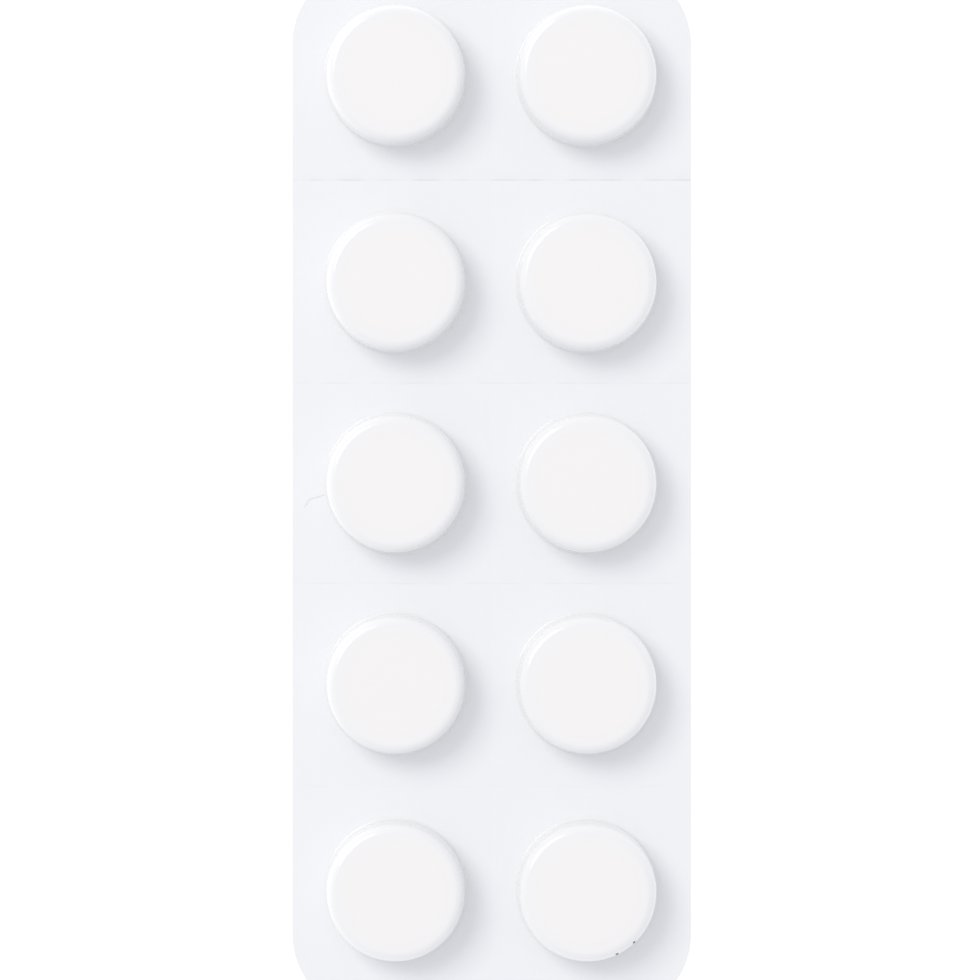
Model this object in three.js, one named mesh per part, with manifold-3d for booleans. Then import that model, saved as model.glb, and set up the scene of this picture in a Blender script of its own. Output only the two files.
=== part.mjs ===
// Blister pack of ten round tablets
// A formed plastic film with ten flat-topped pockets, a foil sealed behind it, and the tablets inside.
// Sizes are in millimetres, with +Z up. The pack lies on its foil with its length along Y. The origin
// is on the underside of the foil, below the middle of the sheet.

import * as THREE from 'three';
import { mergeVertices } from 'three/addons/utils/BufferGeometryUtils.js';
import Module from 'manifold-3d';

const wasm = await Module();
wasm.setup();

// Tablets
const tabletDiameter = 12.7;
const tabletThickness = 4.3;
const tabletBevelWidth = 0.6;
const tabletBevelHeight = 0.4;

// Film and foil
const filmThickness = 0.25;
const foilThickness = 0.05;

// Pockets: the room round a tablet, and the outer form of the wall
const tabletSideClearance = 0.5;
const tabletTopClearance = 0.45;
const shoulderRadius = 0.95;
const wallFootRadius = 0.3;
const wallDraft = THREE.MathUtils.degToRad(2.5);

// Sheet: flat film left between the pockets, and between them and the edges
const columnWeb = 4.7;
const innerRowWeb = 5.7;
const outerRowWeb = 6.3;
const sideMargin = 3.25;
const topMargin = 4.35;
const bottomMargin = 5.55;
const cornerRadius = 8.5;

// Score lines in the film: four across it between the rows, and one along it between the columns
const rowScoreWidth = 0.26;
const rowScoreDepth = 0.04;
const columnScoreWidth = 0.5;
const columnScoreDepth = 0.02;

// Facets
const roundSegments = 32;
const cornerSegments = 8;
const shoulderSegments = 3;
const footSegments = 2;

// How far a cutting tool runs past the face that it cuts
const cutOverrun = 1;

// Heights worked out from the sizes above
const filmTop = foilThickness + filmThickness;
const pocketTop = foilThickness + tabletThickness + tabletTopClearance + filmThickness;

// Radii of a pocket: its flat top, and the circle where its wall meets the flat film
const tabletRadius = tabletDiameter / 2;
const flatTopRadius = tabletRadius + tabletSideClearance + filmThickness - shoulderRadius;
const straightWallHeight = pocketTop - filmTop - shoulderRadius - wallFootRadius;
const wallSpread = shoulderRadius + wallFootRadius + straightWallHeight * Math.sin(wallDraft);
const pocketFootRadius = flatTopRadius + wallSpread / Math.cos(wallDraft);

// Layout of the pockets on the sheet
const columns = [{ name: 'left', side: -1 }, { name: 'right', side: 1 }];
const rowWebs = [outerRowWeb, innerRowWeb, innerRowWeb, outerRowWeb];
const columnPitch = 2 * pocketFootRadius + columnWeb;
const rowPitches = rowWebs.map((web) => 2 * pocketFootRadius + web);
const rowsLength = rowPitches.reduce((sum, pitch) => sum + pitch, 0);
const sheetWidth = columnPitch + 2 * (pocketFootRadius + sideMargin);
const sheetLength = rowsLength + 2 * pocketFootRadius + topMargin + bottomMargin;

// Place of each row along the sheet, from the top row down
const rowPlaces = [sheetLength / 2 - topMargin - pocketFootRadius];
for (const pitch of rowPitches) rowPlaces.push(rowPlaces.at(-1) - pitch);

// Turns a geometry into a solid for joining and cutting. Triangles that collapse where a turned
// outline meets its axis are dropped.
function toSolid(geometry) {
  const bare = geometry.clone();
  bare.deleteAttribute('normal');
  bare.deleteAttribute('uv');
  const merged = mergeVertices(bare);
  const corners = merged.index.array;
  const kept = [];
  for (let i = 0; i < corners.length; i += 3) {
    const [a, b, c] = corners.slice(i, i + 3);
    if (a !== b && b !== c && c !== a) kept.push(a, b, c);
  }
  return new wasm.Manifold(new wasm.Mesh({
    numProp: 3,
    vertProperties: Float32Array.from(merged.attributes.position.array),
    triVerts: Uint32Array.from(kept),
  }));
}

// Turns a solid back into a geometry
function toGeometry(solid) {
  const mesh = solid.getMesh();
  const geometry = new THREE.BufferGeometry();
  geometry.setAttribute('position', new THREE.BufferAttribute(Float32Array.from(mesh.vertProperties), 3));
  geometry.setIndex(new THREE.BufferAttribute(Uint32Array.from(mesh.triVerts), 1));
  geometry.computeVertexNormals();
  return geometry;
}

function joined(solids) {
  return solids.reduce((whole, solid) => whole.add(solid));
}

// Points along an arc, given its centre, radius, first and last angle
function arcPoints(x, y, radius, from, to, segments) {
  const points = [];
  for (let i = 0; i <= segments; i += 1) {
    const angle = THREE.MathUtils.lerp(from, to, i / segments);
    points.push(new THREE.Vector2(x + radius * Math.cos(angle), y + radius * Math.sin(angle)));
  }
  return points;
}

// A round solid about the vertical axis, from an outline that runs upwards
function turned(outline) {
  return new THREE.LatheGeometry(outline, roundSegments).rotateX(Math.PI / 2);
}

// The sheet's outline with its four round corners
function sheetOutline() {
  const x = sheetWidth / 2 - cornerRadius;
  const y = sheetLength / 2 - cornerRadius;
  const shape = new THREE.Shape();
  shape.absarc(x, y, cornerRadius, 0, Math.PI / 2);
  shape.absarc(-x, y, cornerRadius, Math.PI / 2, Math.PI);
  shape.absarc(-x, -y, cornerRadius, Math.PI, 1.5 * Math.PI);
  shape.absarc(x, -y, cornerRadius, 1.5 * Math.PI, 2 * Math.PI);
  return shape;
}

// The flat sheet between two heights
function sheetPlate(low, high) {
  const plate = new THREE.ExtrudeGeometry(sheetOutline(), {
    depth: high - low,
    bevelEnabled: false,
    curveSegments: cornerSegments,
  });
  return toSolid(plate.translate(0, 0, low));
}

// Half section of a pocket's surface: its outer face where inset is 0, and its inner face where inset
// is the film's thickness. It starts on the axis at the given height, inside or below the sheet.
function pocketOutline(inset, startHeight) {
  const foot = arcPoints(
    pocketFootRadius, filmTop + wallFootRadius, wallFootRadius + inset,
    1.5 * Math.PI, Math.PI + wallDraft, footSegments,
  );
  const shoulder = arcPoints(
    flatTopRadius, pocketTop - shoulderRadius, shoulderRadius - inset,
    wallDraft, Math.PI / 2, shoulderSegments,
  );
  return [
    new THREE.Vector2(0, startHeight),
    new THREE.Vector2(pocketFootRadius, startHeight),
    ...foot,
    ...shoulder,
    new THREE.Vector2(0, pocketTop - inset),
  ];
}

// One copy of a solid at each pocket
function atEachPocket(solid) {
  const copies = [];
  for (const column of columns) {
    for (const place of rowPlaces) {
      copies.push(solid.translate([column.side * columnPitch / 2, place, 0]));
    }
  }
  return joined(copies);
}

// A cutter for a score line with a V-shaped bottom. It runs along the sheet, through the middle.
function scoreCutter(width, depth, sheetRun) {
  const section = new THREE.Shape([
    new THREE.Vector2(0, -depth),
    new THREE.Vector2(width / 2, 0),
    new THREE.Vector2(width / 2, cutOverrun),
    new THREE.Vector2(-width / 2, cutOverrun),
    new THREE.Vector2(-width / 2, 0),
  ]);
  const length = sheetRun + 2 * cutOverrun;
  const cutter = new THREE.ExtrudeGeometry(section, { depth: length, bevelEnabled: false });
  return cutter.rotateX(Math.PI / 2).translate(0, length / 2, filmTop);
}

// All the score lines: one between each pair of rows, and one between the columns
function scoreLines() {
  const across = toSolid(scoreCutter(rowScoreWidth, rowScoreDepth, sheetWidth).rotateZ(Math.PI / 2));
  const lines = [toSolid(scoreCutter(columnScoreWidth, columnScoreDepth, sheetLength))];
  for (let row = 1; row < rowPlaces.length; row += 1) {
    lines.push(across.translate([0, (rowPlaces[row - 1] + rowPlaces[row]) / 2, 0]));
  }
  return joined(lines);
}

function blisterFilm() {
  const pocketShell = toSolid(turned(pocketOutline(0, (foilThickness + filmTop) / 2)));
  const pocketRoom = toSolid(turned(pocketOutline(filmThickness, -cutOverrun)));
  return sheetPlate(foilThickness, filmTop)
    .add(atEachPocket(pocketShell))
    .subtract(atEachPocket(pocketRoom))
    .subtract(scoreLines());
}

function liddingFoil() {
  return sheetPlate(0, foilThickness);
}

// A flat-faced tablet with bevelled edges, standing on its own origin
function tabletGeometry() {
  const outline = [
    [0, 0],
    [tabletRadius - tabletBevelWidth, 0],
    [tabletRadius, tabletBevelHeight],
    [tabletRadius, tabletThickness - tabletBevelHeight],
    [tabletRadius - tabletBevelWidth, tabletThickness],
    [0, tabletThickness],
  ];
  return turned(outline.map(([radius, height]) => new THREE.Vector2(radius, height)));
}

// Finishes
const filmFinish = { color: 0xf2f1f5, roughness: 0.22, metalness: 0 };
const foilFinish = { color: 0xc8c9cb, roughness: 0.38, metalness: 1 };
const tabletFinish = { color: 0xf4f1ea, roughness: 0.85, metalness: 0 };

function named(name, geometry, finish) {
  const mesh = new THREE.Mesh(geometry, new THREE.MeshStandardMaterial(finish));
  mesh.name = name;
  return mesh;
}

// Assembly
const blisterPack = new THREE.Group();
blisterPack.name = 'blister_pack';
blisterPack.add(named('blister_film', toGeometry(blisterFilm()), filmFinish));
blisterPack.add(named('lidding_foil', toGeometry(liddingFoil()), foilFinish));

rowPlaces.forEach((place, row) => {
  for (const column of columns) {
    const tablet = named(`tablet_row${row + 1}_${column.name}`, tabletGeometry(), tabletFinish);
    tablet.position.set(column.side * columnPitch / 2, place, foilThickness);
    blisterPack.add(tablet);
  }
});

export default blisterPack;
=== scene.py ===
import math

import bmesh
import bpy
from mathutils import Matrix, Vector
from mathutils.geometry import delaunay_2d_cdt


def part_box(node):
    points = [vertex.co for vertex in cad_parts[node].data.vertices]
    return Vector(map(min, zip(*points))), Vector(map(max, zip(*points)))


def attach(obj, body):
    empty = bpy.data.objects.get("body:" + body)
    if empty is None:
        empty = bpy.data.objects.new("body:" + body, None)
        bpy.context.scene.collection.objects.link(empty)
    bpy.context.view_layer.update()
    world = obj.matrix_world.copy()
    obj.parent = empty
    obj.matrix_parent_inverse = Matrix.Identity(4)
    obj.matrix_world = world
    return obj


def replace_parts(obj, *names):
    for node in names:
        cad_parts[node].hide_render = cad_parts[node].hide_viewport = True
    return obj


bl_info = {
    "name": "Blister Pack of Tablets",
    "version": (1, 0, 0),
    "blender": (4, 5, 0),
    "location": "View3D > Sidebar > Blister Pack",
    "description": "Builds the film, foil, tablets and stage of a white blister pack",
    "category": "Add Mesh",
}

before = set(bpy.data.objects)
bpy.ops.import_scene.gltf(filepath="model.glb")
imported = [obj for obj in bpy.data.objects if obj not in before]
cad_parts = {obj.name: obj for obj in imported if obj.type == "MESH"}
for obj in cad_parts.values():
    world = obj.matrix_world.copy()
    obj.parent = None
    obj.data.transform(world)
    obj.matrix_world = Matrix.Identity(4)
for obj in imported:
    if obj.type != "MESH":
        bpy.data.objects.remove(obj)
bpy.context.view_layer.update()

MM = 0.001
BODY = "root"
FILM_NODE = "blister_film"
FOIL_NODE = "lidding_foil"
TABLET_NODES = sorted(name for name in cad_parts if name.startswith("tablet_"))

# Sizes that the frame gives
SHEET_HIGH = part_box(FILM_NODE)[1]
FOIL_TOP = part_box(FOIL_NODE)[1].z
POCKET_TOP = SHEET_HIGH.z
HALF_WIDTH = SHEET_HIGH.x
HALF_LENGTH = SHEET_HIGH.y
TABLET_LOW, TABLET_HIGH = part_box(TABLET_NODES[0])
TABLET_RADIUS = (TABLET_HIGH.x - TABLET_LOW.x) / 2


def pocket_centre(node):
    low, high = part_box(node)
    return (low.x + high.x) / 2, (low.y + high.y) / 2


# Places are rounded to a thousandth of a millimetre, so that the pockets of a row share one place
PLACE_DIGITS = 6
POCKETS = [pocket_centre(node) for node in TABLET_NODES]
ROW_PLACES = sorted({round(y, PLACE_DIGITS) for x, y in POCKETS}, reverse=True)
SCORE_LINES = [(upper + lower) / 2 for upper, lower in zip(ROW_PLACES, ROW_PLACES[1:])]

# Mesh fineness
POCKET_SEGMENTS = 144
TABLET_SEGMENTS = 96
CORNER_SEGMENTS = 24
SHOULDER_SEGMENTS = 10
FOOT_SEGMENTS = 6
GRID_STEP = 1.3 * MM
GRID_MARGIN = 0.3 * GRID_STEP
SCORE_STEP = 0.4 * MM
COLLAR_WIDTH = 0.9 * MM
MERGE_DISTANCE = 1e-9
ROOF_RINGS = 5
SHARP_ANGLE = math.radians(40)

# Foil: the ridges pressed into it where it is sealed, and the hollow in its underside at each pocket
KNURL_PITCH = 0.9 * MM
HOLLOW_DEPTH = 0.02 * MM
HOLLOW_SLOPE = 0.35 * MM
SEAL_EDGE = 0.01 * MM

# How the film's colour changes from a pocket's top over its wall to its foot: the tablet's warmth fades off
# the top, and painted light brightens the wall and fades at the foot
TOP_FADE = 1.4 * MM
WALL_LIGHT_FADE = 1.0 * MM
FOOT_LIGHT_FADE = 0.3 * MM
FOOT_LIGHT_LOSS = 0.67

# Past this share of the foot's radius the flat sheet gets no painted light and keeps its own colour
WALL_LIGHT_REACH = 1.001

# How deep the blade bit between each pair of rows, from the top, as a share of the deepest
ROW_BITE = (1.0, 0.45, 0.4, 0.15)

# The blade's dashes along a score line: two waves, each with its length and its shift from row to row,
# how sharply they switch, and the share of the depth that they take away or add
DASH_WAVES = ((0.62 * MM, 2.1), (1.37 * MM, 0.9))
DASH_SHARPNESS = 1.6
DASH_CHANGE = 0.38

# How the sag of the pocket tops differs from one pocket to the next, as a wave over their numbers
SAG_TURN = 2.4
SAG_START = 0.7


class PackSizes(bpy.types.PropertyGroup):
    """Sizes of the formed film, the foil and the tablets"""

    film_thickness: bpy.props.FloatProperty(
        name="Film Thickness", description="Thickness of the plastic film",
        default=0.25 * MM, unit="LENGTH")
    side_clearance: bpy.props.FloatProperty(
        name="Side Clearance", description="Room between a tablet's edge and the pocket wall",
        default=0.5 * MM, unit="LENGTH")
    shoulder_radius: bpy.props.FloatProperty(
        name="Shoulder Radius", description="Round between a pocket's wall and its flat top",
        default=0.95 * MM, unit="LENGTH")
    foot_radius: bpy.props.FloatProperty(
        name="Foot Radius", description="Round between a pocket's wall and the flat sheet",
        default=0.3 * MM, unit="LENGTH")
    wall_draft: bpy.props.FloatProperty(
        name="Wall Draft", description="Lean of the pocket walls",
        default=math.radians(2.5), subtype="ANGLE")
    corner_radius: bpy.props.FloatProperty(
        name="Corner Radius", description="Radius of the sheet's corners",
        default=8.5 * MM, unit="LENGTH")
    row_score_width: bpy.props.FloatProperty(
        name="Row Score Width", description="Width of the score lines between the rows",
        default=0.26 * MM, unit="LENGTH")
    row_score_depth: bpy.props.FloatProperty(
        name="Row Score Depth", description="Depth of the deepest score line between two rows",
        default=0.04 * MM, unit="LENGTH")
    column_score_width: bpy.props.FloatProperty(
        name="Column Score Width", description="Width of the score line between the columns",
        default=0.5 * MM, unit="LENGTH")
    column_score_depth: bpy.props.FloatProperty(
        name="Column Score Depth", description="Depth of the score line between the columns",
        default=0.02 * MM, unit="LENGTH")
    sheet_wave: bpy.props.FloatProperty(
        name="Sheet Wave", description="Height of the slight waves in the flat film",
        default=0.012 * MM, unit="LENGTH")
    roof_sag: bpy.props.FloatProperty(
        name="Roof Sag", description="Furthest that a pocket's flat top sinks at its middle",
        default=0.02 * MM, unit="LENGTH")
    tablet_bevel_width: bpy.props.FloatProperty(
        name="Tablet Bevel Width", description="Width of the bevel on a tablet's faces",
        default=0.6 * MM, unit="LENGTH")
    tablet_bevel_height: bpy.props.FloatProperty(
        name="Tablet Bevel Height", description="Height of the bevel on a tablet's edge",
        default=0.4 * MM, unit="LENGTH")


class PackColours(bpy.types.PropertyGroup):
    """Colours of the film, the foil, the tablets and the marks"""

    film: bpy.props.FloatVectorProperty(
        name="Film", description="Cool milky white of the film",
        default=(0.825, 0.833, 0.852), subtype="COLOR")
    film_over_tablet: bpy.props.FloatVectorProperty(
        name="Film over Tablet", description="Warmer white where a tablet lies close under the film",
        default=(0.857, 0.836, 0.822), subtype="COLOR")
    # Painted light: a brighter white on the pocket walls and at their feet, standing in for light through
    # the thin film and lifting the shade there
    film_wall_painted_light: bpy.props.FloatVectorProperty(
        name="Film on Wall", description="Brighter white where the film is stretched thin",
        default=(0.875, 0.876, 0.876), subtype="COLOR")
    # Part real and part painted: the grey of film roughened by the blade, with painted shade in the score
    # lines
    film_scored_and_shaded: bpy.props.FloatVectorProperty(
        name="Scored Film", description="Greyer white where the blade marked the film",
        default=(0.71, 0.713, 0.73), subtype="COLOR")
    foil: bpy.props.FloatVectorProperty(
        name="Foil", description="Bare aluminium foil",
        default=(0.72, 0.725, 0.73), subtype="COLOR")
    tablet: bpy.props.FloatVectorProperty(
        name="Tablet", description="Chalky white powder",
        default=(0.86, 0.84, 0.8), subtype="COLOR")
    scuff: bpy.props.FloatVectorProperty(
        name="Scuff", description="Grey of the scuff on the flat film",
        default=(0.63, 0.635, 0.65), subtype="COLOR")
    speck: bpy.props.FloatVectorProperty(
        name="Speck", description="Dark grey of the specks on a pocket's rim",
        default=(0.06, 0.065, 0.065), subtype="COLOR")


def sizes():
    return bpy.context.scene.pack_sizes


def colours():
    return bpy.context.scene.pack_colours


class Signal:
    """A shader socket that can be used in a Python expression; each operation adds a Math node"""

    def __init__(self, graph, socket):
        self.graph = graph
        self.socket = socket

    def _math(self, operation, *values):
        return self.graph.node("ShaderNodeMath", {"operation": operation}, dict(enumerate(values)))

    def __add__(self, other):
        return self._math("ADD", self, other)

    def __radd__(self, other):
        return self._math("ADD", other, self)

    def __sub__(self, other):
        return self._math("SUBTRACT", self, other)

    def __rsub__(self, other):
        return self._math("SUBTRACT", other, self)

    def __mul__(self, other):
        return self._math("MULTIPLY", self, other)

    def __rmul__(self, other):
        return self._math("MULTIPLY", other, self)

    def sin(self):
        return self._math("SINE", self)

    def absolute(self):
        return self._math("ABSOLUTE", self)


# Sockets of a Mix node that mixes colours
MIX_FACTOR = 0
MIX_FIRST = 6
MIX_SECOND = 7
MIX_RESULT = 2


class Graph:
    """A node tree, and the ways to add to it"""

    def __init__(self, tree):
        self.tree = tree

    def node(self, kind, settings, inputs, output=0):
        """Adds a node: its settings first, then the values or links of its sockets"""
        made = self.tree.nodes.new(kind)
        for key, value in settings.items():
            setattr(made, key, value)
        for key, value in inputs.items():
            self._feed(made.inputs[key], value)
        return Signal(self, made.outputs[output])

    def _feed(self, socket, value):
        if isinstance(value, Signal):
            self.tree.links.new(value.socket, socket)
        else:
            socket.default_value = value

    def place(self):
        return self.node("ShaderNodeTexCoord", {}, {}, "Object")

    def across(self):
        """The place along the sheet's width and its length"""
        split = self.node("ShaderNodeSeparateXYZ", {}, {0: self.place()})
        return split, Signal(self, split.socket.node.outputs["Y"])

    def noise(self, scale, detail=2.0):
        inputs = {"Vector": self.place(), "Scale": scale, "Detail": detail}
        return self.node("ShaderNodeTexNoise", {}, inputs)

    def attribute(self, name):
        return self.node("ShaderNodeAttribute", {"attribute_name": name}, {}, "Fac")

    def mix_colour(self, factor, first, second):
        """Mixes two colours, each given as three numbers or as a signal"""
        ends = [end if isinstance(end, Signal) else (*end, 1.0) for end in (first, second)]
        inputs = {MIX_FACTOR: factor, MIX_FIRST: ends[0], MIX_SECOND: ends[1]}
        return self.node("ShaderNodeMix", {"data_type": "RGBA"}, inputs, MIX_RESULT)

    def bump(self, height, strength, distance):
        inputs = {"Height": height, "Strength": strength, "Distance": distance}
        return self.node("ShaderNodeBump", {}, inputs)


class Finish(Graph):
    """The node tree of one material"""

    def __init__(self, name):
        self.material = bpy.data.materials.new(name)
        self.material.use_nodes = True
        super().__init__(self.material.node_tree)
        self.shader = self.tree.nodes["Principled BSDF"]

    def set(self, **inputs):
        """Sets or links the shader's sockets, named with underscores for spaces. Gives the material."""
        for key, value in inputs.items():
            self._feed(self.shader.inputs[key.replace("_", " ")], value)
        return self.material


def shaded(colour, factor):
    """A colour made lighter or darker by a factor"""
    return tuple(min(1.0, channel * factor) for channel in colour)


# Milky film: a faint cloudiness, a smooth gloss that ripples slightly, painted light on the pocket walls
# and painted shade in the score lines
FILM_CLOUD_SHADE = 0.985
FILM_GRAIN_SHARE = 0.04
FILM_ROUGHNESS = 0.1
FILM_ROUGHNESS_CHANGE = 0.06
FILM_IOR = 1.5


def film_material():
    graph = Finish("milky_film")
    cloud = graph.noise(scale=90.0, detail=3.0)
    colour = graph.mix_colour(cloud, colours().film, shaded(colours().film, FILM_CLOUD_SHADE))
    colour = graph.mix_colour(graph.attribute("over_tablet"), colour, colours().film_over_tablet)
    # Painted light: the pocket walls and the sheet at their feet are brightened
    colour = graph.mix_colour(graph.attribute("wall_painted_light"), colour, colours().film_wall_painted_light)
    # The score lines are greyed by the blade and darkened further by painted shade
    colour = graph.mix_colour(graph.attribute("score_wear_and_shade"), colour, colours().film_scored_and_shaded)
    ripple = graph.noise(scale=420.0) + FILM_GRAIN_SHARE * graph.noise(scale=2600.0, detail=4.0)
    return graph.set(
        Base_Color=colour,
        Roughness=FILM_ROUGHNESS + FILM_ROUGHNESS_CHANGE * graph.noise(scale=260.0, detail=4.0),
        Normal=graph.bump(ripple, strength=0.12, distance=0.04 * MM),
        IOR=FILM_IOR,
    )


# Embossed foil: ridges that cross where it is sealed, darkened with painted shade, over a light crumple
FOIL_DARK_SHADE = 0.9
FOIL_LIGHT_SHADE = 1.05
# Painted shade: a darker copy of the foil colour, and how much of it goes onto the ridges
FOIL_RIDGE_PAINTED_SHADE = 0.7
FOIL_RIDGE_PAINTED_SHADE_SHARE = 0.5
FOIL_ROUGHNESS = 0.26
FOIL_CRUMPLE_ROUGHNESS = 0.12
FOIL_SEAL_ROUGHNESS = 0.1
FOIL_RIDGE_RELIEF = 2
FOIL_CRUMPLE_RELIEF = 0.6


def foil_material():
    graph = Finish("embossed_foil")
    sealed = graph.attribute("sealed")
    x, y = graph.across()
    turns = 2 * math.pi / KNURL_PITCH
    ridges = [((x + y) * turns).sin().absolute(), ((x - y) * turns).sin().absolute()]
    knurl = 0.5 * (ridges[0] + ridges[1]) * sealed
    crumple = graph.noise(scale=380.0, detail=5.0)
    dark, light = shaded(colours().foil, FOIL_DARK_SHADE), shaded(colours().foil, FOIL_LIGHT_SHADE)
    tone = graph.mix_colour(crumple, dark, light)
    # Painted shade along the embossed ridges, so that the pattern shows
    tone = graph.mix_colour(FOIL_RIDGE_PAINTED_SHADE_SHARE * knurl, tone, shaded(colours().foil, FOIL_RIDGE_PAINTED_SHADE))
    relief = FOIL_RIDGE_RELIEF * knurl + FOIL_CRUMPLE_RELIEF * crumple
    return graph.set(
        Base_Color=tone,
        Metallic=1.0,
        Roughness=FOIL_ROUGHNESS + FOIL_CRUMPLE_ROUGHNESS * crumple + FOIL_SEAL_ROUGHNESS * sealed,
        Normal=graph.bump(relief, strength=0.6, distance=0.03 * MM),
    )


# Pressed powder: a fine grain with small pits
TABLET_DARK_SHADE = 0.93
TABLET_LIGHT_SHADE = 1.04
TABLET_ROUGHNESS = 0.78
TABLET_PIT_ROUGHNESS = 0.15


def tablet_material():
    graph = Finish("pressed_powder")
    grain = graph.noise(scale=2400.0, detail=6.0)
    pits = graph.noise(scale=900.0, detail=3.0)
    dark, light = shaded(colours().tablet, TABLET_DARK_SHADE), shaded(colours().tablet, TABLET_LIGHT_SHADE)
    return graph.set(
        Base_Color=graph.mix_colour(grain, dark, light),
        Roughness=TABLET_ROUGHNESS + TABLET_PIT_ROUGHNESS * pits,
        Normal=graph.bump(grain + pits, strength=0.35, distance=0.05 * MM),
    )


# Marks: matt, with a grain that lightens them
MARK_LIGHT_SHADE = 1.3
MARK_ROUGHNESS = 0.6
MARK_GRAIN_ROUGHNESS = 0.2


def mark_material(name, colour):
    graph = Finish(name)
    grain = graph.noise(scale=3000.0, detail=3.0)
    tone = graph.mix_colour(grain, colour, shaded(colour, MARK_LIGHT_SHADE))
    return graph.set(Base_Color=tone, Roughness=MARK_ROUGHNESS + MARK_GRAIN_ROUGHNESS * grain)


def arc(x, y, radius, start, end, segments):
    """Points along an arc, both ends included"""
    angles = [start + (end - start) * i / segments for i in range(segments + 1)]
    return [(x + radius * math.cos(a), y + radius * math.sin(a)) for a in angles]


def spread(low, high, step):
    """Even places between two ends, both included, no further apart than step"""
    count = math.ceil((high - low) / step)
    return [low + (high - low) * i / count for i in range(count + 1)]


def grid_rows():
    """Places along the sheet of the grid's rows, and of three close rows along each score line"""
    half = sizes().row_score_width / 2
    edges = [-HALF_LENGTH, *reversed(SCORE_LINES), HALF_LENGTH]
    rows = []
    for low, high in zip(edges, edges[1:]):
        rows += spread(low + half, high - half, GRID_STEP)[1:-1]
    close_rows = [line + shift for line in SCORE_LINES for shift in (-half, 0.0, half)]
    return rows, close_rows


def sheet_outline():
    """The sheet's outline, anticlockwise, with points along its sides in line with the grid's rows"""
    radius = sizes().corner_radius
    x = HALF_WIDTH - radius
    y = HALF_LENGTH - radius
    quarter = math.pi / 2
    rows, close_rows = grid_rows()
    side = sorted(place for place in rows + close_rows if abs(place) < y)
    end = spread(-x, x, GRID_STEP)[1:-1]
    loop = arc(x, y, radius, 0, quarter, CORNER_SEGMENTS)
    loop += [(place, HALF_LENGTH) for place in reversed(end)]
    loop += arc(-x, y, radius, quarter, 2 * quarter, CORNER_SEGMENTS)
    loop += [(-HALF_WIDTH, place) for place in reversed(side)]
    loop += arc(-x, -y, radius, 2 * quarter, 3 * quarter, CORNER_SEGMENTS)
    loop += [(place, -HALF_LENGTH) for place in end]
    loop += arc(x, -y, radius, 3 * quarter, 4 * quarter, CORNER_SEGMENTS)
    loop += [(HALF_WIDTH, place) for place in side]
    return loop


def in_sheet(x, y, inset):
    """True where a point lies at least inset inside the sheet's outline"""
    radius = sizes().corner_radius
    over_x = max(abs(x) - (HALF_WIDTH - radius), 0.0)
    over_y = max(abs(y) - (HALF_LENGTH - radius), 0.0)
    return math.hypot(over_x, over_y) < radius - inset


def pocket_section(inset):
    """Radius and height along a pocket's outer face, or its inner face at the film's thickness inset"""
    size = sizes()
    film_top = FOIL_TOP + size.film_thickness
    shoulder, foot, draft = size.shoulder_radius, size.foot_radius, size.wall_draft
    flat_top = TABLET_RADIUS + size.side_clearance + size.film_thickness - shoulder
    straight = POCKET_TOP - film_top - shoulder - foot
    foot_place = flat_top + (shoulder + foot + straight * math.sin(draft)) / math.cos(draft)
    section = arc(foot_place, film_top + foot, foot + inset, 1.5 * math.pi, math.pi + draft, FOOT_SEGMENTS)
    section += arc(flat_top, POCKET_TOP - shoulder, shoulder - inset, draft, math.pi / 2, SHOULDER_SEGMENTS)
    return section


def circle(centre, radius, segments):
    turn = 2 * math.pi / segments
    return [(centre[0] + radius * math.cos(i * turn), centre[1] + radius * math.sin(i * turn))
            for i in range(segments)]


def near_pocket(x, y, reach):
    return any(math.hypot(x - px, y - py) < reach for px, py in POCKETS)


def grid_points(hole_radius):
    """Points that divide the flat sheet finely, with a collar round each pocket"""
    half_column = sizes().column_score_width / 2
    across = spread(-HALF_WIDTH, -half_column - GRID_MARGIN, GRID_STEP)[1:]
    across = across + [-half_column, 0.0, half_column] + [-x for x in reversed(across)]
    close_across = spread(-HALF_WIDTH, HALF_WIDTH, SCORE_STEP)[1:-1]
    rows, close_rows = grid_rows()
    points = [(x, y) for y in rows for x in across]
    points += [(x, y) for y in close_rows for x in close_across]
    collar = hole_radius + COLLAR_WIDTH
    kept_off = collar + GRID_MARGIN
    points = [p for p in points if in_sheet(*p, GRID_MARGIN) and not near_pocket(*p, kept_off)]
    for centre in POCKETS:
        points += circle(centre, collar, POCKET_SEGMENTS)
    return points


def flat_layer(bm, hole_radius, height):
    """Adds a flat sheet with a round hole at each pocket. Gives its outer loop and the holes' loops."""
    loops = [sheet_outline()]
    loops += [circle(centre, hole_radius, POCKET_SEGMENTS) for centre in POCKETS]
    points = []
    edges = []
    for loop in loops:
        first = len(points)
        points += loop
        edges += [(first + i, first + (i + 1) % len(loop)) for i in range(len(loop))]
    points += grid_points(hole_radius)
    vectors = [Vector(point) for point in points]
    found, _, faces, sources, _, _ = delaunay_2d_cdt(vectors, edges, [], 0, MERGE_DISTANCE)
    verts = [bm.verts.new((p.x, p.y, height(p.x, p.y))) for p in found]
    made_from = {}
    for vert, origins in zip(verts, sources):
        for origin in origins:
            made_from[origin] = vert
    apothem = hole_radius * math.cos(math.pi / POCKET_SEGMENTS)
    for face in faces:
        x = sum(found[i].x for i in face) / len(face)
        y = sum(found[i].y for i in face) / len(face)
        if not near_pocket(x, y, apothem):
            bm.faces.new([verts[i] for i in face])
    result = []
    start = 0
    for loop in loops:
        result.append([made_from[start + i] for i in range(len(loop))])
        start += len(loop)
    return result[0], result[1:]


def bridge(bm, lower, upper):
    """Joins two rings that hold the same number of points"""
    count = len(lower)
    for i in range(count):
        after = (i + 1) % count
        bm.faces.new((lower[i], lower[after], upper[after], upper[i]))


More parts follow.
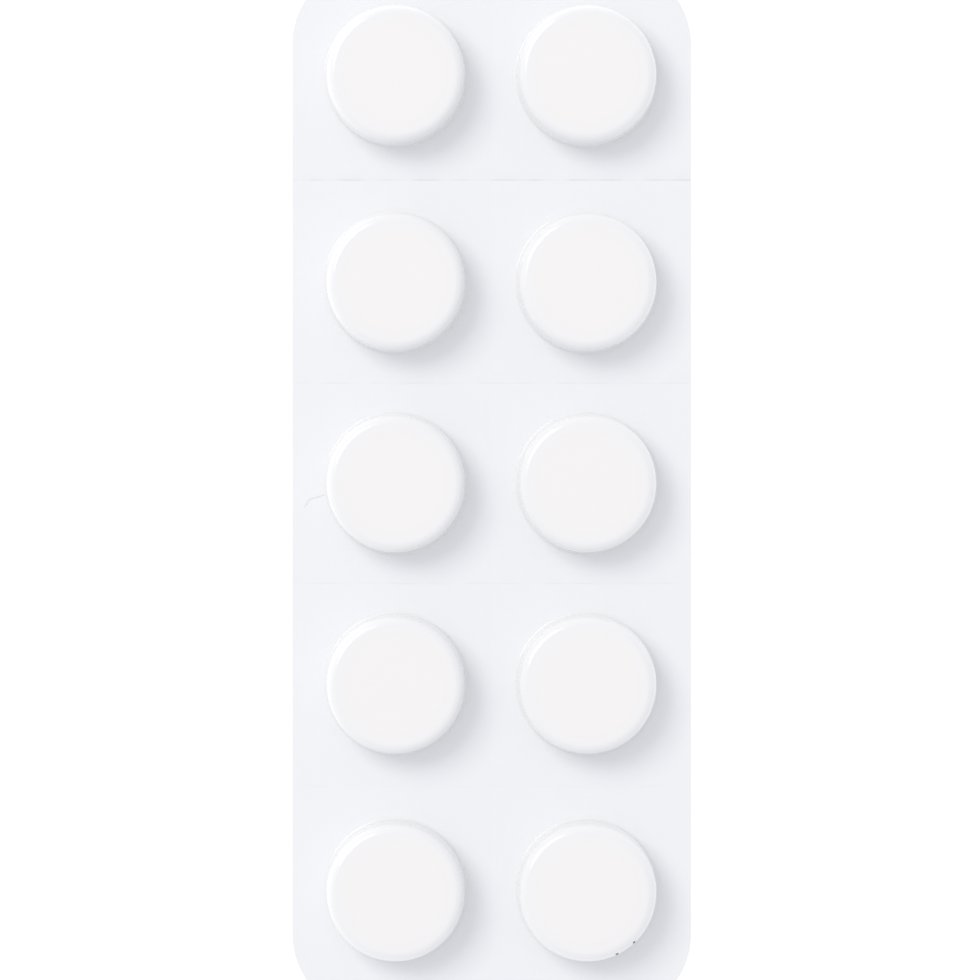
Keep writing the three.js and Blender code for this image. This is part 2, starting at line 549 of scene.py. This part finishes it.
def ring(bm, centre, radius, height, segments):
    return [bm.verts.new((x, y, height)) for x, y in circle(centre, radius, segments)]


def cap(bm, last, centre, radius, height, swell, rings, segments):
    """Closes a ring with a flat disc that rises by swell at its middle"""
    for i in range(1, rings):
        share = 1 - i / rings
        inner = ring(bm, centre, radius * share, height + swell * (1 - share ** 2), segments)
        bridge(bm, last, inner)
        last = inner
    middle = bm.verts.new((*centre, height + swell))
    for i in range(segments):
        bm.faces.new((last[i], last[(i + 1) % segments], middle))


def pocket_surface(bm, foot, centre, section, swell):
    """Raises one face of a pocket from the ring at its foot"""
    last = foot
    for radius, height in section[1:]:
        upper = ring(bm, centre, radius, height, POCKET_SEGMENTS)
        bridge(bm, last, upper)
        last = upper
    radius, height = section[-1]
    cap(bm, last, centre, radius, height, swell, ROOF_RINGS, POCKET_SEGMENTS)


def link(thing):
    bpy.context.scene.collection.objects.link(thing)


def new_piece(name, bm, material):
    """Turns a bmesh into a piece of the pack that rides on its body"""
    bmesh.ops.recalc_face_normals(bm, faces=bm.faces)
    mesh = bpy.data.meshes.new(name)
    bm.to_mesh(mesh)
    bm.free()
    mesh.shade_smooth()
    mesh.set_sharp_from_angle(angle=SHARP_ANGLE)
    mesh.materials.append(material)
    piece = bpy.data.objects.new(name, mesh)
    link(piece)
    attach(piece, BODY)
    return piece


def store(piece, name, share):
    """Stores a number at each point of a piece, for its material"""
    values = piece.data.attributes.new(name, "FLOAT", "POINT")
    for i, vert in enumerate(piece.data.vertices):
        values.data[i].value = share(vert.co)


def bite(x, row):
    """How deep the blade went at a point of a score line: uneven along it, and less on lower rows"""
    dash = sum(math.sin(x / length + shift * row) for length, shift in DASH_WAVES)
    return ROW_BITE[row] * (1 - DASH_CHANGE + DASH_CHANGE * max(-1.0, min(1.0, DASH_SHARPNESS * dash)))


def row_fall(x, y):
    """Depth of the score lines between the rows below the film's face"""
    size = sizes()
    falls = [0.0]
    for row, line in enumerate(SCORE_LINES):
        across = 1 - abs(y - line) / (size.row_score_width / 2)
        falls.append(size.row_score_depth * bite(x, row) * across)
    return max(falls)


def column_fall(x):
    """Depth of the score line between the columns below the film's face"""
    size = sizes()
    return size.column_score_depth * max(0.0, 1 - abs(x) / (size.column_score_width / 2))


# Waves of the flat film: lengths across and along the sheet, and where they start. The short ones
# run at a slant.
LONG_WAVE = (4.1 * MM, 6.7 * MM)
LONG_START = (0.8, 0.3)
LONG_SHARE = 0.7
SHORT_WAVE = (2.3 * MM, 3.1 * MM)
SHORT_SLANT = (0.6, 0.5)
SHORT_START = 1.9
SHORT_SHARE = 0.3


def wave(x, y):
    """Height of the slight waves of the flat film at a point"""
    long_wave = math.sin(x / LONG_WAVE[0] + LONG_START[0]) * math.sin(y / LONG_WAVE[1] + LONG_START[1])
    across = (x + SHORT_SLANT[0] * y) / SHORT_WAVE[0] + SHORT_START
    along = (y - SHORT_SLANT[1] * x) / SHORT_WAVE[1]
    short_wave = math.sin(across) * math.sin(along)
    return sizes().sheet_wave * (LONG_SHARE * long_wave + SHORT_SHARE * short_wave)


def smooth_step(low, high, value):
    share = min(1.0, max(0.0, (value - low) / (high - low)))
    return share * share * (3 - 2 * share)


class PACK_OT_film(bpy.types.Operator):
    """Adds the formed film with its pockets and score lines"""

    bl_idname = "pack.film"
    bl_label = "Add Film"

    def execute(self, context):
        size = sizes()
        film_top = FOIL_TOP + size.film_thickness
        outer = pocket_section(0.0)
        inner = pocket_section(size.film_thickness)
        foot_radius = outer[0][0]
        roof_radius = outer[-1][0]

        def face_height(x, y):
            return film_top + wave(x, y) - max(row_fall(x, y), column_fall(x))

        bm = bmesh.new()
        top = flat_layer(bm, foot_radius, face_height)
        low = flat_layer(bm, foot_radius, lambda x, y: FOIL_TOP)
        bridge(bm, low[0], top[0])
        for number, centre in enumerate(POCKETS):
            sag = size.roof_sag * min(0.0, math.sin(SAG_TURN * number + SAG_START))
            pocket_surface(bm, top[1][number], centre, outer, sag)
            pocket_surface(bm, low[1][number], centre, inner, sag)
        piece = new_piece("formed_film", bm, film_material())
        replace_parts(piece, FILM_NODE)
        store(piece, "over_tablet", lambda co: top_share(off_pocket(co), roof_radius, foot_radius))
        # Painted light on the pocket walls, falling off at the foot
        store(piece, "wall_painted_light", lambda co: wall_light_share(off_pocket(co), roof_radius, foot_radius))
        # The score depth sets the grey wear and the painted shade of the score lines
        store(piece, "score_wear_and_shade", lambda co: row_fall(co.x, co.y) / size.row_score_depth)
        return {"FINISHED"}


def off_pocket(place):
    """Distance across the sheet from a point to the middle of the nearest pocket"""
    return min(math.hypot(place.x - px, place.y - py) for px, py in POCKETS)


def top_share(off, roof_radius, foot_radius):
    """How much of the tablet's warmth shows at a distance from a pocket's middle: all of it on the top"""
    return 1 - smooth_step(roof_radius - TOP_FADE, foot_radius, off)


def wall_light_share(off, roof_radius, foot_radius):
    """How much painted light brightens the film's wall and foot at a distance from a pocket's middle"""
    if off > foot_radius * WALL_LIGHT_REACH:
        return 0.0
    rise = smooth_step(roof_radius, roof_radius + WALL_LIGHT_FADE, off)
    return rise * (1 - FOOT_LIGHT_LOSS * smooth_step(foot_radius - FOOT_LIGHT_FADE, foot_radius, off))


class PACK_OT_foil(bpy.types.Operator):
    """Adds the foil, embossed where it is sealed to the film"""

    bl_idname = "pack.foil"
    bl_label = "Add Foil"

    def execute(self, context):
        seal_radius = pocket_section(0.0)[0][0]
        hollow_radius = seal_radius - HOLLOW_SLOPE
        open_radius = seal_radius - SEAL_EDGE
        bm = bmesh.new()
        top = flat_layer(bm, seal_radius, lambda x, y: FOIL_TOP)
        low = flat_layer(bm, seal_radius, lambda x, y: 0.0)
        bridge(bm, low[0], top[0])
        for number, centre in enumerate(POCKETS):
            for loops, height in ((top, FOIL_TOP), (low, HOLLOW_DEPTH)):
                inner = ring(bm, centre, hollow_radius, height, POCKET_SEGMENTS)
                bridge(bm, loops[1][number], inner)
                cap(bm, inner, centre, hollow_radius, height, 0.0, ROOF_RINGS, POCKET_SEGMENTS)
        piece = new_piece("sealed_foil", bm, foil_material())
        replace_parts(piece, FOIL_NODE)
        store(piece, "sealed", lambda co: 0.0 if near_pocket(co.x, co.y, open_radius) else 1.0)
        return {"FINISHED"}


class PACK_OT_tablets(bpy.types.Operator):
    """Adds the ten tablets, one in each pocket"""

    bl_idname = "pack.tablets"
    bl_label = "Add Tablets"

    def execute(self, context):
        material = tablet_material()
        for node, centre in zip(TABLET_NODES, POCKETS):
            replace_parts(self.tablet(node, centre, material), node)
        return {"FINISHED"}

    def tablet(self, node, centre, material):
        size = sizes()
        wide, tall = size.tablet_bevel_width, size.tablet_bevel_height
        low, high = TABLET_LOW.z, TABLET_HIGH.z
        section = [
            (TABLET_RADIUS - wide, low),
            (TABLET_RADIUS, low + tall),
            (TABLET_RADIUS, high - tall),
            (TABLET_RADIUS - wide, high),
        ]
        bm = bmesh.new()
        rings = [ring(bm, centre, radius, height, TABLET_SEGMENTS) for radius, height in section]
        for lower, upper in zip(rings, rings[1:]):
            bridge(bm, lower, upper)
        face_radius = TABLET_RADIUS - wide
        cap(bm, rings[0], centre, face_radius, low, 0.0, ROOF_RINGS, TABLET_SEGMENTS)
        cap(bm, rings[-1], centre, face_radius, high, 0.0, ROOF_RINGS, TABLET_SEGMENTS)
        return new_piece(node.replace("tablet_", "pressed_tablet_"), bm, material)


# Marks: a bent scuff on the flat film, as a path across the sheet, and two specks on a pocket's rim
SCUFF_PATH = [
    (-19.5 * MM, -1.9 * MM),
    (-19.15 * MM, -1.45 * MM),
    (-18.95 * MM, -1.05 * MM),
    (-18.4 * MM, -0.9 * MM),
    (-17.7 * MM, -0.7 * MM),
    (-16.95 * MM, -0.5 * MM),
]
SCUFF_WIDTH = 0.17 * MM
SPECK_NODE = "tablet_row5_right"
SPECK_TURNS = (math.radians(-46.6), math.radians(-64.2))
SPECK_LEAN = math.radians(35)
SPECK_LENGTH = 0.3 * MM
SPECK_WIDTH = 0.24 * MM
SPECK_STEPS = 4
MARK_FLATNESS = 0.3
STREAK_SEGMENTS = 8
STREAK_TAPER = 0.6


class PACK_OT_marks(bpy.types.Operator):
    """Adds the small marks: a scuff on the flat film, and two specks on a pocket's rim"""

    bl_idname = "pack.marks"
    bl_label = "Add Marks"

    def execute(self, context):
        face = FOIL_TOP + sizes().film_thickness
        scuff = [Vector((x, y, face + wave(x, y))) for x, y in SCUFF_PATH]
        self.streak("film_scuff", scuff, SCUFF_WIDTH, mark_material("scuff", colours().scuff))
        material = mark_material("speck", colours().speck)
        for number, turn in enumerate(SPECK_TURNS):
            self.streak(f"rim_speck_{number + 1}", self.rim_path(turn), SPECK_WIDTH, material)
        return {"FINISHED"}

    def rim_path(self, turn):
        """A short path along the shoulder of the pocket that carries the specks"""
        x, y = POCKETS[TABLET_NODES.index(SPECK_NODE)]
        shoulder = sizes().shoulder_radius
        radius = pocket_section(0.0)[-1][0] + shoulder * math.cos(SPECK_LEAN)
        height = POCKET_TOP - shoulder + shoulder * math.sin(SPECK_LEAN)
        half = SPECK_LENGTH / 2 / radius
        steps = arc(x, y, radius, turn - half, turn + half, SPECK_STEPS)
        return [Vector((px, py, height)) for px, py in steps]

    def streak(self, name, path, width, material):
        """A flat tapered streak along a path, half sunk in the film"""
        bm = bmesh.new()
        rings = []
        for i, place in enumerate(path):
            along = path[min(i + 1, len(path) - 1)] - path[max(i - 1, 0)]
            side = along.cross(Vector((0, 0, 1))).normalized() * width / 2
            rise = Vector((0, 0, width / 2 * MARK_FLATNESS))
            full = 1 - STREAK_TAPER + STREAK_TAPER * math.sin(math.pi * (i + 0.5) / len(path))
            turns = [2 * math.pi * j / STREAK_SEGMENTS for j in range(STREAK_SEGMENTS)]
            points = [place + full * (side * math.cos(a) + rise * math.sin(a)) for a in turns]
            rings.append([bm.verts.new(point) for point in points])
        for lower, upper in zip(rings, rings[1:]):
            bridge(bm, lower, upper)
        bm.faces.new(reversed(rings[0]))
        bm.faces.new(rings[-1])
        new_piece(name, bm, material)


# Camera: straight above the pack, as in the photograph
CAMERA_HEIGHT = 0.5
VIEW_WIDTH = 101.9 * MM
VIEW_CENTRE = (-0.15 * MM, -0.09 * MM)
SENSOR_WIDTH = 36.0
CLIP_START = 0.01

# View: a mild gamma for soft tones
VIEW_GAMMA = 1.15

# Lights: a compact soft one at the upper left, a broad one overhead, and an even surround
KEY_DIRECTION = (-0.465, 0.404, 0.788)
KEY_SIZE = 0.95
KEY_POWER = 14.9
KEY_COLOUR = (1.0, 0.965, 0.93)
OVERHEAD_DIRECTION = (-0.1, 0.08, 1.0)
OVERHEAD_SIZE = 1.87
OVERHEAD_POWER = 3.2
OVERHEAD_COLOUR = (0.98, 0.99, 1.0)
LIGHT_DISTANCE = 2.0
SURROUND_STRENGTH = 0.755
SURROUND_COLOUR = (0.94, 0.955, 1.0)

# Floor: a plain white ground that glows slightly, just under the foil
FLOOR_SIZE = 3.0
FLOOR_DROP = 0.02 * MM
FLOOR_COLOUR = (0.98, 0.98, 0.98)
FLOOR_ROUGHNESS = 0.9
FLOOR_GLOW = 0.3


class PACK_OT_stage(bpy.types.Operator):
    """Adds the floor, the lights and the camera"""

    bl_idname = "pack.stage"
    bl_label = "Add Stage"

    def execute(self, context):
        self.floor()
        self.light("key", "SQUARE", KEY_DIRECTION, KEY_SIZE, KEY_POWER, KEY_COLOUR)
        self.light(
            "overhead", "DISK", OVERHEAD_DIRECTION, OVERHEAD_SIZE, OVERHEAD_POWER, OVERHEAD_COLOUR)
        self.surround()
        self.camera(context)
        context.scene.view_settings.view_transform = "Standard"
        context.scene.view_settings.gamma = VIEW_GAMMA
        return {"FINISHED"}

    def floor(self):
        half = FLOOR_SIZE / 2
        mesh = bpy.data.meshes.new("floor")
        corners = [(-half, -half), (half, -half), (half, half), (-half, half)]
        mesh.from_pydata([(x, y, -FLOOR_DROP) for x, y in corners], [], [(0, 1, 2, 3)])
        graph = Finish("floor")
        mesh.materials.append(graph.set(
            Base_Color=(*FLOOR_COLOUR, 1.0),
            Roughness=FLOOR_ROUGHNESS,
            Emission_Color=(*FLOOR_COLOUR, 1.0),
            Emission_Strength=FLOOR_GLOW,
        ))
        floor = bpy.data.objects.new("floor", mesh)
        link(floor)

    def light(self, name, shape, direction, size, power, colour):
        light = bpy.data.lights.new(name, "AREA")
        light.shape = shape
        light.size = size
        light.energy = power
        light.color = colour
        lamp = bpy.data.objects.new(name, light)
        toward = Vector(direction).normalized()
        lamp.location = toward * LIGHT_DISTANCE
        lamp.rotation_euler = toward.to_track_quat("Z", "Y").to_euler()
        link(lamp)

    def surround(self):
        world = bpy.data.worlds.new("surround")
        world.use_nodes = True
        background = world.node_tree.nodes["Background"]
        background.inputs["Color"].default_value = (*SURROUND_COLOUR, 1.0)
        background.inputs["Strength"].default_value = SURROUND_STRENGTH
        bpy.context.scene.world = world

    def camera(self, context):
        lens = bpy.data.cameras.new("camera")
        lens.sensor_width = SENSOR_WIDTH
        lens.lens = SENSOR_WIDTH * CAMERA_HEIGHT / VIEW_WIDTH
        lens.clip_start = CLIP_START
        camera = bpy.data.objects.new("camera", lens)
        camera.location = (*VIEW_CENTRE, CAMERA_HEIGHT)
        link(camera)
        context.scene.camera = camera


class VIEW3D_PT_pack(bpy.types.Panel):
    """Sizes, colours and pieces of the blister pack"""

    bl_label = "Blister Pack"
    bl_space_type = "VIEW_3D"
    bl_region_type = "UI"
    bl_category = "Blister Pack"

    def draw(self, context):
        for group in (context.scene.pack_sizes, context.scene.pack_colours):
            for name in group.__annotations__:
                self.layout.prop(group, name)
        for operator in OPERATORS:
            self.layout.operator(operator.bl_idname)


OPERATORS = (PACK_OT_stage, PACK_OT_film, PACK_OT_foil, PACK_OT_tablets, PACK_OT_marks)
CLASSES = (PackSizes, PackColours, *OPERATORS, VIEW3D_PT_pack)


def register():
    for cls in CLASSES:
        bpy.utils.register_class(cls)
    bpy.types.Scene.pack_sizes = bpy.props.PointerProperty(type=PackSizes)
    bpy.types.Scene.pack_colours = bpy.props.PointerProperty(type=PackColours)


def unregister():
    del bpy.types.Scene.pack_colours
    del bpy.types.Scene.pack_sizes
    for cls in reversed(CLASSES):
        bpy.utils.unregister_class(cls)


def main():
    register()
    bpy.ops.pack.stage()
    bpy.ops.pack.film()
    bpy.ops.pack.foil()
    bpy.ops.pack.tablets()
    bpy.ops.pack.marks()


if __name__ == "__main__":
    main()
